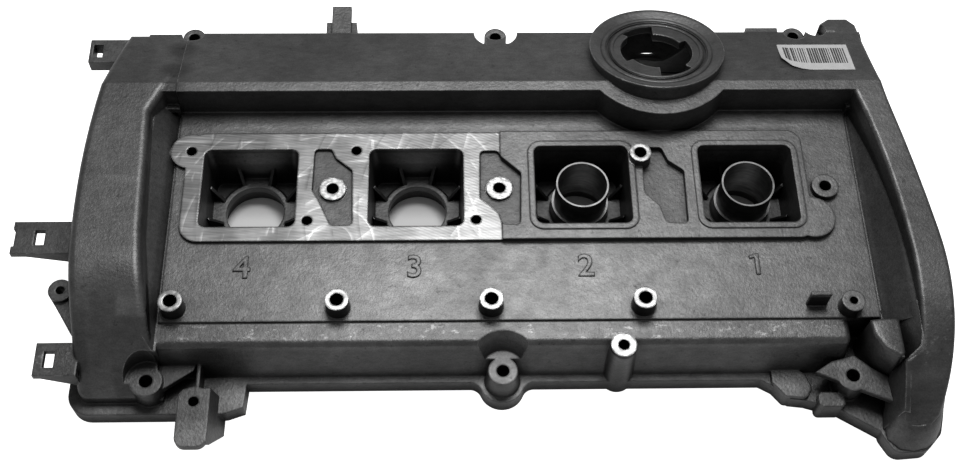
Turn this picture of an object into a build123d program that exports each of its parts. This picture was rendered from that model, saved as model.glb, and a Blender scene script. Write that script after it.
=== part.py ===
from build123d import *
import os
from math import cos, radians, sin, sqrt, tan

os.makedirs("parts", exist_ok=True)

# Frame: the origin lies on the gasket plane, on the line of the four plug wells,
# midway between wells 2 and 3. X runs towards well 1, Y to the rear, Z up.

# Driving sizes of the whole casting, in millimetres
plug_pitch = 88.0
front_reach = 99.5
rear_reach = 99.5
wall = 3.5
flange_thickness = 10.0
flange_lip = 6.5
overrun = 30.0
base_align = (Align.CENTER, Align.CENTER, Align.MIN)

# Heights above the gasket plane
deck_height = 37.5
ledge_drop = 1.5
pad_rise = 3.5
mill_depth = 1.5
crest_height = 57.0
rear_edge_height = 44.0
crest_flat = 6.0
bolt_seat_height = 23.5

# Plug wells: a tapered square pocket over a ribbed spigot
well_length = 50.35
well_depth = 47.96
well_floor_height = 9.0
well_taper = 2.6
well_corner = 4.0
well_wall = 3.0
spigot_bore_radius = 15.7
spigot_wall = 3.9
spigot_height = 14.0
seal_seat_radius = 17.6
seal_seat_height = 9.4
platform_width = 14.6
gusset_count = 8
gusset_thickness = 1.8
gusset_rise = 10.0

# Plug tubes, which stand in wells 1 and 2
tube_wall = 1.0
tube_neck_radius = 14.0
tube_body_radius = 15.3
tube_fit = 0.1
tube_foot_lift = 9.8
tube_shoulder_height = 23.5
tube_top_height = 41.0
tube_cone_rise = 2.0

# Holes, seats and bosses
coil_screw_radius = 2.7
coil_screw_depth = 12.0
rail_boss_radius = 6.1
rail_boss_hole_radius = 3.4
rail_boss_rise = 9.5
rail_boss_hole_depth = 15.0
rail_pitch = 77.0
centre_boss_radius = 7.1
centre_bolt_radius = 3.2
post_boss_radius = 5.8
post_boss_rise = 5.0
small_boss_radius = 5.9
small_boss_hole_radius = 2.1
small_boss_rise = 8.5
rear_bolt_pitch = 169.5
rear_bolt_reach = 99.0
rear_boss_radius = 6.2
rear_boss_height = 39.5
rear_scoop_radius = 12.0
rear_fairing_width = 11.2
rear_bolt_radius = 3.1
corner_bolt_half_span = 177.4
corner_bolt_shift = 0.8
corner_bolt_reach = 103.0
corner_boss_radius = 8.2
corner_bolt_radius = 3.4
front_lobe_radius = 11.7
lobe_blend = 6.0
front_boss_radius = 7.5
front_boss_foot_radius = 9.0
front_bolt_reach = 99.0
front_scoop_radius = 11.0
front_scoop_top_radius = 16.5
corner_scoop_radius = 10.7
tall_boss_radius = 6.5
tall_boss_foot_radius = 8.4
tall_boss_hole_radius = 2.8
tall_boss_height = 40.5
tall_boss_hole_depth = 18.0

# Oil filler neck, square to the sloping rear ridge
filler_radius = 37.0
filler_offset = 79.5
filler_height = 55.4
filler_wall = 3.0
filler_rim = 1.6
filler_dish_depth = 2.3
filler_dish_radius = 29.5
filler_groove_radius = 27.5
filler_groove_width = 1.4
filler_groove_depth = 0.9
filler_bore_radius = 19.8
filler_tongue_radius = 15.8
filler_notch_radius = 23.6
filler_plate = 4.5
filler_depth = 24.0
filler_foot_radius = 31.0
bulge_radius = 43.4

filler_opening_parts = ((30.0, 60.0), (90.0, 47.0))

# Brackets along the left end, the rear and the front
bracket_height = 33.0
bracket_thickness = 3.5
bracket_slot = (5.4, 8.8)
rear_bracket = (34.0, 15.5, 8.0)
middle_bracket = (40.0, 19.0)
hook_size = (2.6, 4.4)
front_bracket = (21.4, 17.8)
ear_radius = 6.2
ear_hole_radius = 2.3
ear_height = 10.0
gusset_drop = 11.0
rear_tab = (10.8, 24.0, 4.0)
rear_tab_height = 42.0
rear_tab_base = (17.0, 13.0, 12.0)
rear_pad = (18.0, 6.0)
foot_tab = (15.8, 31.0, 4.0)
foot_tab_height = 21.0
foot_tab_hole_radius = 2.6
foot_tab_web = 5.0
foot_tab_slant = 13.5
fin_length = 10.2
fin_thickness = 1.8
fin_rise = 12.5
block_size = (13.4, 8.0, 5.0)

# Inside and underneath
rib_thickness = 2.5
rib_depth = 8.0
groove_width = 3.0
groove_depth = 2.5
groove_inset = 1.6
pad_corner = 10.0
cast_corner = 8.0
milled_lobe_radius = 10.8
cast_lobe_radius = 12.0
recess_corner = 2.5
lip_rise = 0.8
lip_width = 3.2
edge_round = 4.0
right_edge_round = 2.0
ridge_overlap = 7.5
ridge_crease = 0.8
beam_round = 3.0
body_corner = 5.0

pad_height = deck_height + pad_rise
milled_height = pad_height - mill_depth
ledge_height = deck_height - ledge_drop
slope_angle = 17.6

# Plan outlines, as shares of the plug pitch in X and of the front or rear reach in Y
left_side_shares = [(-2.33, 0.99), (-2.428, 0.52), (-2.47, 0.043), (-2.439, -0.663), (-2.424, -1.096)]
left_foot_share = (-1.943, -1.096)
left_end_inner_shares = [
    (-1.994, -0.804), (-2.057, -0.352), (-2.08, 0.101), (-2.097, 0.382), (-1.981, 0.603), (-1.955, 0.99)
]
right_lug_shares = [
    (2.182, 0.995), (2.08, 0.995), (2.115, 1.085), (2.175, 1.13), (2.3, 1.13), (2.345, 1.07)
]
right_side_shares = [
    (2.345, 1.07), (2.35, 0.85), (2.361, 0.64), (2.397, 0.382), (2.524, -0.36), (2.539, -0.8), (2.44, -1.27)
]
right_lobe_shares = [(2.44, -1.27), (2.375, -1.33), (2.27, -1.337), (2.239, -1.286), (2.239, -1.035)]
right_end_inner_shares = [(2.336, -0.975), (2.315, -0.151), (2.182, 0.513)]
body_front_shares = [
    (-1.943, -1.096), (-1.92, -0.935), (1.955, -0.935), (2.114, -0.975), (2.239, -1.055), (2.239, -1.286)
]
left_apron_shares = [
    (-2.1, -1.161), (-1.631, -1.161), (-1.585, -1.156), (-1.489, -1.126), (-1.475, -0.95), (-2.1, -0.95)
]
right_apron_shares = [
    (1.5, -0.95), (1.5, -0.995), (1.58, -1.035), (1.67, -1.106), (1.761, -1.116), (1.943, -1.164),
    (2.17, -1.289), (2.3, -1.289), (2.3, -0.95)
]
recess_43_shares = [
    (-1.118, 0.241), (-1.015, 0.241), (-0.988, 0.183), (-0.887, 0.107), (-0.875, -0.233), (-1.006, -0.232),
    (-1.084, -0.079), (-1.123, -0.018)
]
recess_32_shares = [
    (-0.113, 0.227), (-0.002, 0.226), (0.015, 0.181), (0.133, 0.079), (0.12, -0.241), (0.015, -0.241),
    (-0.007, -0.168), (-0.07, -0.107), (-0.118, -0.075)
]
recess_21_shares = [
    (0.872, 0.235), (0.995, 0.234), (1.031, 0.151), (1.122, 0.086), (1.116, -0.241), (0.986, -0.234),
    (0.955, -0.131), (0.872, -0.05)
]
milled_pad_shares = [(-1.893, 0.345), (0.01, 0.345), (0.01, -0.326), (-1.893, -0.326)]
cast_pad_shares = [(0.01, 0.343), (1.861, 0.343), (1.861, -0.327), (0.01, -0.327)]
milled_lobe_share = (-1.869, 0.232)
cast_lobe_share = (1.858, -0.206)
bolt_plate_shares = [
    (1.892, -0.96), (2.028, -0.925), (2.125, -1.0), (2.25, -1.065), (2.26, -1.196), (1.932, -1.07),
    (1.795, -1.015)
]
corner_web_shares = [
    (2.08, -0.828), (2.235, -0.818), (2.235, -1.03), (2.185, -1.01), (2.14, -0.972), (2.095, -0.9)
]

# Places of single features, in the same shares
well_shares = (1.5, 0.5, -0.5, -1.5)
centre_boss_shares = [(-1.0, -0.009), (0.0, -0.009)]
post_boss_share = (0.857, 0.17)
side_boss_share = (1.965, -0.015)
rail_first_share = (-0.065, -0.704)
rail_left_share = -1.877
small_boss_share = (1.998, -0.724)
fin_share = (1.808, -0.702)
coil_screw_shares = [(-0.364, 0.23), (0.357, -0.204)]
tall_boss_share = (0.677, -0.934)
rear_bracket_share = (-2.412, 0.957)
middle_bracket_share = (-2.64, -0.26)
front_bracket_share = (-2.514, -0.955)
ear_share = (-2.551, -0.57)
ear_web_shares = [(-2.61, -0.6), (-2.467, -0.8), (-2.4, -0.8), (-2.4, -0.5), (-2.55, -0.51)]
foot_tab_share = (-1.751, -1.22)
rear_slot_share = 0.36
middle_slot_share = 0.18
front_slot_share = 0.17
foot_tab_hole_share = 0.27
rear_tab_share = (-0.988, 1.08)
rear_pad_share = (1.716, 1.0)
block_share = (1.893, -1.13)
apron_pad_shares = [
    (1.568, -0.93), (1.568, -1.02), (1.64, -1.1), (1.76, -1.11), (1.795, -1.05), (1.765, -0.98), (1.7, -0.93)
]
corner_wedge_shares = [(-2.02, -0.93), (-1.76, -0.94), (-1.77, -0.965), (-1.96, -1.08)]
rib_shares = (-1.0, 0.0, 1.0)
filler_x_share = 1.0
deck_left_share = -1.955
deck_right_share = 2.17
ledge_right_share = 1.989
side_slope_shares = [(-2.09, -2.2), (2.352, 2.45)]
slope_front_shares = (0.93, 0.82)
crest_end_share = -0.45
right_nose_share = -1.37
nose_reach_share = 0.78
nose_height_share = 0.76
beam_seam_share = -0.778
beam_top_share = -0.905
beam_foot_share = -0.962
gutter_front_share = 0.475
deck_back_share = 0.9


def spot(share):
    """Place in plan of a pair of shares, as X and Y."""
    x_share, y_share = share
    return x_share * plug_pitch, y_share * (rear_reach if y_share > 0 else front_reach)


def spots(shares):
    return [spot(share) for share in shares]


def closed_face(points):
    return make_face(Polyline(*points, close=True))


def slab(face, bottom, top):
    """A flat plan face raised from one height to another."""
    return Pos(0, 0, bottom) * extrude(face, top - bottom)


def post(place, radius, bottom, top):
    x, y = place
    return slab(Pos(x, y) * Circle(radius), bottom, top)


def along_x(profile, start, end):
    """A profile drawn in Y and Z, run along X."""
    return Pos(start, 0, 0) * extrude(Plane.YZ * profile, end - start)


# Plan of the body

def arc_chain(points):
    """A smooth chain of arcs: the first through three points, each later one on to the next point."""
    chain = arc = ThreePointArc(points[0], points[1], points[2])
    for start, end in zip(points[2:], points[3:]):
        arc = TangentArc(start, end, tangent=arc % 1)
        chain += arc
    return chain


def rounded(face, places, radius):
    """A plan face with the corners at some places rounded."""
    return fillet([face.vertices().sort_by_distance((*place, 0))[0] for place in places], radius)


def left_end_plan():
    side = spots(left_side_shares)
    inner = spots(left_end_inner_shares)
    face = make_face(arc_chain(side) + Polyline(side[-1], spot(left_foot_share), *inner, side[0]))
    return rounded(face, [side[-1]], body_corner)


def right_end_plan():
    lug = spots(right_lug_shares)
    inner = spots(right_end_inner_shares)
    side = arc_chain(spots(right_side_shares))
    inside = ThreePointArc(inner[0], inner[1], inner[2])
    tip = Polyline(*spots(right_lobe_shares), inner[0])
    return make_face(Polyline(*lug) + side + tip + inside + Polyline(inner[2], lug[0]))


def body_plan():
    left = spots(left_side_shares)
    lug = spots(right_lug_shares)
    lobe = spots(right_lobe_shares)
    front = spots(body_front_shares)
    outline = arc_chain(left) + Polyline(left[-1], *front, *reversed(lobe[:3]))
    outline += arc_chain(spots(right_side_shares)) + Polyline(*lug[1:]) + Line(lug[1], left[0])
    return rounded(make_face(outline), [left[-1]], body_corner)


# Side profiles in Y and Z

def rear_slope(reach):
    """Height of the sloping rear ridge at a reach behind the plug line."""
    start = rear_reach / 2 + crest_flat
    return crest_height - (reach - start) * tan(radians(slope_angle))


def rear_ridge_profile():
    front = rear_reach / 2
    back = rear_reach
    top = [(front, crest_height), (front + crest_flat, crest_height), (back, rear_slope(back))]
    return closed_face([(front, 0), *top, (back, 0)])


def end_profile(front_end):
    """Side view of an end housing: a rear slope, a level crest and a rounded nose at the front."""
    start = rear_reach / 2 + crest_flat
    back = rear_reach + plug_pitch
    level_end = front_reach * crest_end_share
    nose_foot = flange_thickness + flange_lip
    knee = front_end * nose_reach_share, crest_height * nose_height_share
    brow = TangentArc((level_end, crest_height), knee, tangent=(-1, 0))
    nose = brow + TangentArc(knee, (front_end, nose_foot), tangent=brow % 1)
    rest = Polyline(
        (front_end, nose_foot), (front_end, 0), (back, 0), (back, rear_slope(back)), (start, crest_height),
        (level_end, crest_height),
    )
    return make_face(nose + rest)


def front_beam_profile():
    top_front = front_reach * beam_top_share
    foot = front_reach * beam_foot_share
    seam = front_reach * beam_seam_share
    bevel = edge_round / 2
    return closed_face([
        (seam, 0), (seam, ledge_height), (top_front + bevel, ledge_height),
        (top_front, ledge_height - bevel), (foot, flange_thickness), (foot, 0),
    ])


# The outside form of the casting; shrink gives the same form set in by the wall

def end_housing(plan, side, front_end, shrink=0):
    """One end housing with its sloping inner side, under its own side profile."""
    profile = end_profile(front_end)
    limits = body_plan()
    if shrink:
        plan = offset(plan, -shrink, kind=Kind.TANGENT)
        profile = offset(profile, -shrink, kind=Kind.TANGENT)
        limits = offset(limits, -shrink, kind=Kind.TANGENT)
    cover = along_x(profile, -plug_pitch * 3, plug_pitch * 3)
    housing = slab(plan, 0, crest_height * 2) & cover
    if not shrink:
        tops = [edge for edge in housing.edges() if edge.bounding_box().min.Z > flange_thickness * 2]
        housing = fillet(tops, (edge_round, right_edge_round)[side])
    floor = side_slope(side, shrink) + rear_gutter(side, shrink)
    return housing + (floor & cover & slab(limits, 0, crest_height))


def left_housing(shrink=0):
    return end_housing(left_end_plan(), 0, left_foot_share[1] * front_reach, shrink)


def right_housing(shrink=0):
    return end_housing(right_end_plan(), 1, right_nose_share * front_reach, shrink)


def side_slope(side, shrink=0):
    """The sloping floor between the deck and an end housing."""
    foot = (deck_left_share, deck_right_share)[side] * plug_pitch
    top, back = (share * plug_pitch for share in side_slope_shares[side])
    side_sign = 1 if foot > 0 else -1
    lean = shrink * side_sign
    low = ledge_height - shrink
    ridge = crest_height - 2 * edge_round - shrink
    start = foot + side_sign * edge_round / 4 + lean
    profile = closed_face([
        (foot, 0), (foot, low), (start, low), (top + lean, ridge), (back - lean, ridge), (back - lean, 0)
    ])
    front = front_reach * slope_front_shares[side] - shrink
    rear = rear_reach / 2 - shrink
    return Pos(0, rear, 0) * extrude(Plane.XZ * profile, rear + front)


def rear_gutter(side, shrink=0):
    """Low fill behind the slope, at the end of the rear ridge."""
    foot = (deck_left_share, deck_right_share)[side] * plug_pitch
    back = side_slope_shares[side][1] * plug_pitch
    front = gutter_front_share * rear_reach
    depth = rear_reach - front - shrink
    face = Pos((foot + back) / 2, front + depth / 2) * Rectangle(abs(back - foot) - shrink, depth)
    return slab(face, 0, rear_edge_height - shrink)


def middle(shrink=0):
    """Deck, rear ridge and front beam, as profiles run along the cover."""
    left = deck_left_share * plug_pitch
    right = deck_right_share * plug_pitch
    beam_right = ledge_right_share * plug_pitch - shrink
    seam = beam_seam_share * front_reach
    ridge = rear_ridge_profile()
    beam = front_beam_profile()
    if shrink:
        ridge = offset(ridge, -shrink, kind=Kind.TANGENT)
        beam = offset(beam, -shrink, kind=Kind.TANGENT)
    deck_rear = deck_back_share * rear_reach
    deck_front = seam + shrink
    centre = Pos((left + right) / 2, (deck_front + deck_rear) / 2)
    face = centre * Rectangle(right - left, deck_rear - deck_front)
    beam = along_x(beam, left, beam_right)
    if not shrink:
        tops = beam.edges().filter_by(Axis.X).group_by(Axis.Z)[-1].sort_by(Axis.Y)[:1]
        ends = beam.faces().sort_by(Axis.X)[-1].edges().filter_by(Axis.X, reverse=True)
        ends = [edge for edge in ends if edge.center().Z > flange_thickness and edge.center().Y < seam]
        beam = fillet(tops + ends, beam_round)
    body = slab(face, 0, deck_height - shrink) + beam
    body += along_x(ridge, left + shrink, right - shrink)
    if not shrink:
        body += along_x(ridge, right - wall, right + ridge_overlap)
        body += along_x(offset(ridge, -ridge_crease, kind=Kind.TANGENT), left - ridge_overlap, left + wall)
    if shrink:
        joint = Pos((left + beam_right) / 2, seam) * Rectangle(beam_right - left, shrink * 4)
        body += slab(joint, 0, ledge_height - shrink)
    return body


def bulge(shrink=0):
    """Round shelf that carries the filler neck past the front of the rear ridge."""
    x = filler_x_share * plug_pitch
    y = filler_offset - edge_round / 2
    rear = rear_reach / 2 + crest_flat
    clip = Pos(x, rear - bulge_radius / 2) * Rectangle(bulge_radius * 2, bulge_radius)
    shelf = post((x, y), bulge_radius - shrink, 0, crest_height - shrink)
    return shelf & slab(clip, 0, crest_height)


def outer_form():
    floor = slab(body_plan(), 0, flange_thickness + wall)
    return left_housing() + right_housing() + middle() + bulge() + floor


def inner_form():
    plan = offset(body_plan(), -wall, kind=Kind.TANGENT)
    form = left_housing(wall) + right_housing(wall) + middle(wall) + bulge(wall)
    return form + slab(plan, -overrun, flange_thickness)


# Flange and its aprons

def flange_plan():
    plan = offset(body_plan(), flange_lip, kind=Kind.ARC)
    plan += closed_face(spots(left_apron_shares)) + closed_face(spots(right_apron_shares))
    plan += Pos(0, -front_bolt_reach) * Circle(front_lobe_radius)
    edge = front_reach * body_front_shares[1][1] - flange_lip
    half = sqrt(front_lobe_radius ** 2 - (front_bolt_reach + edge) ** 2)
    return rounded(plan, [(-half, edge), (half, edge)], lobe_blend)


def gasket_groove():
    inner = offset(body_plan(), groove_inset - wall, kind=Kind.TANGENT)
    outer = offset(body_plan(), groove_inset + groove_width - wall, kind=Kind.ARC)
    return slab(outer - inner, -overrun, groove_depth)


# Pad round the plug wells

def pad():
    """Raised pad: the milled left half lies lower than the half left as cast."""
    milled = fillet(closed_face(spots(milled_pad_shares)).vertices().sort_by(Axis.X)[:2], pad_corner)
    milled += Pos(*spot(milled_lobe_share)) * Circle(milled_lobe_radius)
    cast = fillet(closed_face(spots(cast_pad_shares)).vertices().sort_by(Axis.X)[2:], cast_corner)
    cast += Pos(*spot(cast_lobe_share)) * Circle(cast_lobe_radius)
    return slab(milled, deck_height - wall, milled_height) + slab(cast, deck_height - wall, pad_height)


def pad_recesses():
    cuts = []
    for shares in (recess_43_shares, recess_32_shares, recess_21_shares):
        face = fillet(closed_face(spots(shares)).vertices(), recess_corner)
        cuts.append(slab(face, deck_height, pad_height + overrun))
    return gathered(cuts)


def well_lips():
    length = well_length + 2 * lip_width
    width = well_depth + 2 * lip_width
    lip = slab(RectangleRounded(length, width, well_corner + lip_width), deck_height, pad_height + lip_rise)
    return gathered([Pos(well_x(number), 0, 0) * lip for number in (1, 2)])


# Plug wells

def well_x(number):
    return well_shares[number - 1] * plug_pitch


def well_loft(margin, bottom, top):
    """Tapered square tower or pocket, wider by the margin all round."""
    depth = pad_height - well_floor_height

    def section(height):
        shrink = well_taper * (pad_height - height) / depth
        return Pos(0, 0, height) * RectangleRounded(
            well_length + 2 * (margin - shrink), well_depth + 2 * (margin - shrink), well_corner + margin
        )

    return loft([section(bottom), section(top)], ruled=True)


def well_tower():
    """Outside of a well, with the spigot that seals on the engine."""
    tower = well_loft(well_wall, well_floor_height - wall, deck_height)
    return tower + Cylinder(seal_seat_radius + well_wall, well_floor_height, align=base_align)


def spigot_platforms():
    """Level metal between the collar of the spigot and the middle of each wall."""
    arm = Rectangle(platform_width, well_length)
    return slab(arm + Rot(0, 0, 90) * arm, well_floor_height, spigot_height)


def spigot_gusset():
    """Thin web that rises from the collar of the spigot to the wall of the well."""
    inner = spigot_bore_radius + spigot_wall / 2
    outer = well_length / 2
    low = well_floor_height
    face = closed_face([
        (inner, low), (inner, spigot_height), (outer, spigot_height + gusset_rise), (outer, low)
    ])
    return Pos(0, gusset_thickness / 2, 0) * extrude(Plane.XZ * face, gusset_thickness)


def well_pocket():
    """Space inside a well, above its floor, spigot and gussets, and the seal seat below."""
    pocket = well_loft(0, well_floor_height, pad_height + well_taper)
    spigot = Cylinder(spigot_bore_radius + spigot_wall, spigot_height, align=base_align)
    spigot = chamfer(spigot.faces().sort_by(Axis.Z)[-1].edges(), spigot_wall / 3) + spigot_platforms()
    web = spigot_gusset()
    for index in range(gusset_count):
        spigot += Rot(0, 0, 360 * (index + 0.5) / gusset_count) * web
    bore = Cylinder(spigot_bore_radius, pad_height + overrun, align=base_align)
    seat = Pos(0, 0, -overrun) * Cylinder(seal_seat_radius, seal_seat_height + overrun, align=base_align)
    return (pocket - spigot) + bore + seat


# Oil filler

def filler_frame():
    tilt = radians(slope_angle)
    return Plane(
        origin=(filler_x_share * plug_pitch, filler_offset, filler_height), x_dir=(1, 0, 0),
        z_dir=(0, sin(tilt), cos(tilt)),
    )


def turned(points):
    """A closed outline of radius and height, turned about the filler axis."""
    return filler_frame() * revolve(Plane.XZ * closed_face(points), Axis.Z)


def filler_neck():
    shoulder = filler_radius - filler_rim / 2
    return turned([
        (0, -filler_depth), (filler_foot_radius, -filler_depth), (shoulder, -filler_depth / 3),
        (filler_radius, -filler_rim), (filler_radius, 0), (filler_radius - filler_rim, 0),
        (filler_dish_radius, -filler_dish_depth), (0, -filler_dish_depth),
    ])


def filler_chamber():
    ceiling = -filler_dish_depth - filler_plate
    radius = filler_radius - filler_wall - filler_rim
    return turned([
        (0, -filler_depth - wall), (filler_foot_radius - filler_wall, -filler_depth - wall),
        (radius, -filler_depth / 3), (radius, ceiling), (0, ceiling),
    ])


def filler_groove():
    bottom = -filler_dish_depth - filler_groove_depth
    return turned([
        (filler_groove_radius - filler_groove_width, bottom), (filler_groove_radius, bottom),
        (filler_groove_radius, overrun), (filler_groove_radius - filler_groove_width, overrun),
    ])


def wedge(start, sweep):
    """Flat sector, wider than any circle of the filler, between two angles."""
    reach = filler_radius * 2
    angles = [radians(start + sweep * step / 2) for step in range(3)]
    return closed_face([(0, 0)] + [(reach * cos(angle), reach * sin(angle)) for angle in angles])


def filler_opening():
    """Bayonet opening: a round hole with two tongues and two notches."""
    hole = Circle(filler_bore_radius)
    for turn in (0, 180):
        (tongue, tongue_sweep), (notch, notch_sweep) = filler_opening_parts
        hole -= wedge(tongue + turn, tongue_sweep)
        hole += Circle(filler_notch_radius) & wedge(notch + turn, notch_sweep)
    hole += Circle(filler_tongue_radius)
    return extrude(filler_frame() * hole, filler_plate * 2, both=True)


# Bosses and bolt columns

def rail_boss_places():
    x, y = spot(rail_first_share)
    return [(rail_left_share * plug_pitch, y)] + [(x + step * rail_pitch, y) for step in (-1, 0, 1)]


def rear_bolt_places():
    return [(step * rear_bolt_pitch, rear_bolt_reach) for step in (-1, 0, 1)]


def corner_bolt_places():
    return [(side * corner_bolt_half_span - corner_bolt_shift, -corner_bolt_reach) for side in (-1, 1)]


def gathered(shapes):
    total = shapes[0]
    for shape in shapes[1:]:
        total += shape
    return total


def raised_bosses():
    """Bosses that stand on the deck, and their blind stems below it."""
    stem = deck_height + rail_boss_rise - rail_boss_hole_depth - wall
    top = deck_height + rail_boss_rise
    bosses = [post(place, rail_boss_radius, stem, top) for place in rail_boss_places()]
    small_top = deck_height + small_boss_rise
    bosses.append(post(spot(small_boss_share), small_boss_radius, deck_height - wall, small_top))
    bosses.append(post(spot(post_boss_share), post_boss_radius, 0, pad_height + post_boss_rise))
    bosses.append(post(spot(side_boss_share), centre_boss_radius, 0, pad_height))
    bosses += [post(spot(share), centre_boss_radius, 0, milled_height) for share in centre_boss_shares]
    return gathered(bosses)


def rear_columns():
    return gathered([post(place, rear_boss_radius, 0, rear_boss_height) for place in rear_bolt_places()])


def rear_side_place():
    """Centre of the hollow on the outer side of the right rear boss."""
    x, y = rear_bolt_places()[-1]
    return x + rear_boss_radius * 2, y + rear_boss_radius / 2


def rear_scoops():
    """Hollows that bare the middle rear boss on both sides, and the right one on its outer side."""
    seat = rear_boss_height - rear_boss_radius
    x, y = rear_bolt_places()[1]
    fairing = Pos(x, y - rear_boss_radius) * Rectangle(rear_fairing_width, 2 * rear_scoop_radius)
    around = post((x, y), rear_scoop_radius, seat, crest_height) - slab(fairing, 0, crest_height)
    beside = post(rear_side_place(), rear_boss_radius, seat, crest_height)
    seats = [post(place, rear_boss_radius, rear_boss_height, crest_height) for place in rear_bolt_places()]
    return around + beside + gathered(seats)


def scoop_backs():
    """Metal kept behind every scoop, so that none breaks through into the hollow."""
    top = crest_height * 2
    left, centre, right = rear_bolt_places()
    backs = [post(centre, rear_scoop_radius + wall, 0, top)]
    backs += [post(place, rear_boss_radius + wall, 0, top) for place in (left, right, rear_side_place())]
    backs.append(post(corner_bolt_places()[0], corner_scoop_radius + wall, 0, top))
    height = ledge_height - bolt_seat_height
    cone = Cone(front_scoop_radius + wall, front_scoop_top_radius + wall, height, align=base_align)
    backs.append(Pos(0, -front_bolt_reach, bolt_seat_height) * cone)
    backs.append(post((0, -front_bolt_reach), front_scoop_radius + wall, 0, bolt_seat_height))
    return gathered(backs)


def front_columns():
    """Bolt columns along the front flange, and the tall screw boss."""
    columns = [post(place, corner_boss_radius, 0, bolt_seat_height) for place in corner_bolt_places()]
    rise = bolt_seat_height - flange_thickness
    cone = Cone(front_boss_foot_radius, front_boss_radius, rise, align=base_align)
    columns.append(Pos(0, -front_bolt_reach, flange_thickness) * cone)
    tall = Cone(tall_boss_foot_radius, tall_boss_radius, tall_boss_height, align=base_align)
    columns.append(Pos(*spot(tall_boss_share)) * tall)
    columns.append(slab(closed_face(spots(bolt_plate_shares)), bolt_seat_height - wall, bolt_seat_height))
    columns.append(slab(closed_face(spots(corner_web_shares)), flange_thickness, rear_edge_height))
    return gathered(columns)


def front_scoops():
    """Hollows that make room for a bolt head above each front seat."""
    height = ledge_height - bolt_seat_height
    scoop = Cone(front_scoop_radius, front_scoop_top_radius, height, align=base_align)
    above = post((0, -front_bolt_reach), front_scoop_top_radius, ledge_height, deck_height)
    left = corner_bolt_places()[0]
    scoop = Pos(0, -front_bolt_reach, bolt_seat_height) * scoop + above
    return scoop + post(left, corner_scoop_radius, bolt_seat_height, crest_height * 2)


def bolt_holes():
    top = crest_height * 2
    holes = [post(place, rear_bolt_radius, -overrun, top) for place in rear_bolt_places()]
    holes += [post(place, corner_bolt_radius, -overrun, top) for place in corner_bolt_places()]
    holes.append(post((0, -front_bolt_reach), centre_bolt_radius, -overrun, top))
    for share in centre_boss_shares + [post_boss_share, side_boss_share]:
        holes.append(post(spot(share), centre_bolt_radius, -overrun, top))
    return gathered(holes)


def blind_holes():
    holes = []
    boss_top = deck_height + rail_boss_rise
    for place in rail_boss_places():
        holes.append(post(place, rail_boss_hole_radius, boss_top - rail_boss_hole_depth, boss_top + overrun))
    small_top = deck_height + small_boss_rise
    holes.append(post(spot(small_boss_share), small_boss_hole_radius, deck_height, small_top + overrun))
    tall_bottom = tall_boss_height - tall_boss_hole_depth
    holes.append(post(spot(tall_boss_share), tall_boss_hole_radius, tall_bottom, crest_height))
    for place in coil_screw_places():
        holes.append(post(place, coil_screw_radius, milled_height - coil_screw_depth, crest_height))
    return gathered(holes)


def coil_screw_places():
    places = []
    for number in (3, 4):
        for share in coil_screw_shares:
            x, y = spot(share)
            places.append((x + well_x(number), y))
    return places


def coil_screw_stems():
    stem = milled_height - coil_screw_depth - wall
    radius = coil_screw_radius + wall
    return gathered([post(place, radius, stem, deck_height) for place in coil_screw_places()])


# Brackets

def bracket_plate(place, length, width, thickness):
    x, y = place
    plate = Pos(x, y) * Rectangle(length, width)
    return slab(plate, bracket_height - thickness, bracket_height)


def bracket_slot_cut(place):
    x, y = place
    return slab(Pos(x, y) * Rectangle(*bracket_slot), -overrun, bracket_height + overrun)


def gusset(outer_x, inner_x, y):
    """Triangular web below a left bracket, from its tip down to the wall."""
    top = bracket_height - bracket_thickness / 2
    side = closed_face([(outer_x, top), (inner_x, top), (inner_x, top - gusset_drop)])
    return Pos(0, y + rib_thickness / 2, 0) * extrude(Plane.XZ * side, rib_thickness)


def left_brackets():
    """Three slotted brackets and an eye, on the outer wall of the left housing."""
    length, width, thickness = rear_bracket
    x, y = spot(rear_bracket_share)
    parts = [bracket_plate((x, y), length, width, thickness)]
    length, width = middle_bracket
    x, y = spot(middle_bracket_share)
    parts.append(bracket_plate((x, y), length, width, bracket_thickness))
    tip = x - length / 2
    hook_length, hook_width = hook_size
    for side in (-1, 1):
        edge = y + side * (width - hook_width) / 2
        parts.append(bracket_plate((tip, edge), hook_length, hook_width, bracket_thickness))
        parts.append(gusset(tip, x + length / 2, y + side * (width - rib_thickness) / 2))
    length, width = front_bracket
    x, y = spot(front_bracket_share)
    parts.append(bracket_plate((x, y), length, width, bracket_thickness))
    parts.append(gusset(x - length / 2, x + length / 2, y - (width - rib_thickness) / 2))
    parts.append(post(spot(ear_share), ear_radius, bracket_height - ear_height, bracket_height))
    web = closed_face(spots(ear_web_shares))
    parts.append(slab(web, bracket_height - ear_height, bracket_height - rib_thickness))
    return gathered(parts)


def left_bracket_slots():
    x, y = spot(rear_bracket_share)
    cuts = [bracket_slot_cut((x - rear_bracket[0] * rear_slot_share, y))]
    x, y = spot(middle_bracket_share)
    cuts.append(bracket_slot_cut((x - middle_bracket[0] * middle_slot_share, y)))
    x, y = spot(front_bracket_share)
    cuts.append(bracket_slot_cut((x - front_bracket[0] * front_slot_share, y)))
    cuts.append(post(spot(ear_share), ear_hole_radius, -overrun, bracket_height + overrun))
    return gathered(cuts)


def rear_bracket_tab():
    """Flat tab on a thicker root, and a low pad, on the rear wall."""
    x, y = spot(rear_tab_share)
    width, length, thickness = rear_tab
    tab = slab(Pos(x, y) * Rectangle(width, length), rear_tab_height - thickness, rear_tab_height)
    width, length, depth = rear_tab_base
    root = Pos(x, rear_reach + length / 4) * Rectangle(width, length)
    tab += slab(root, rear_tab_height - depth, rear_tab_height - fin_thickness)
    width, length = rear_pad
    x, y = spot(rear_pad_share)
    return tab + slab(Pos(x, y) * Rectangle(width, length), 0, rear_edge_height - edge_round / 4)


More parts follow.
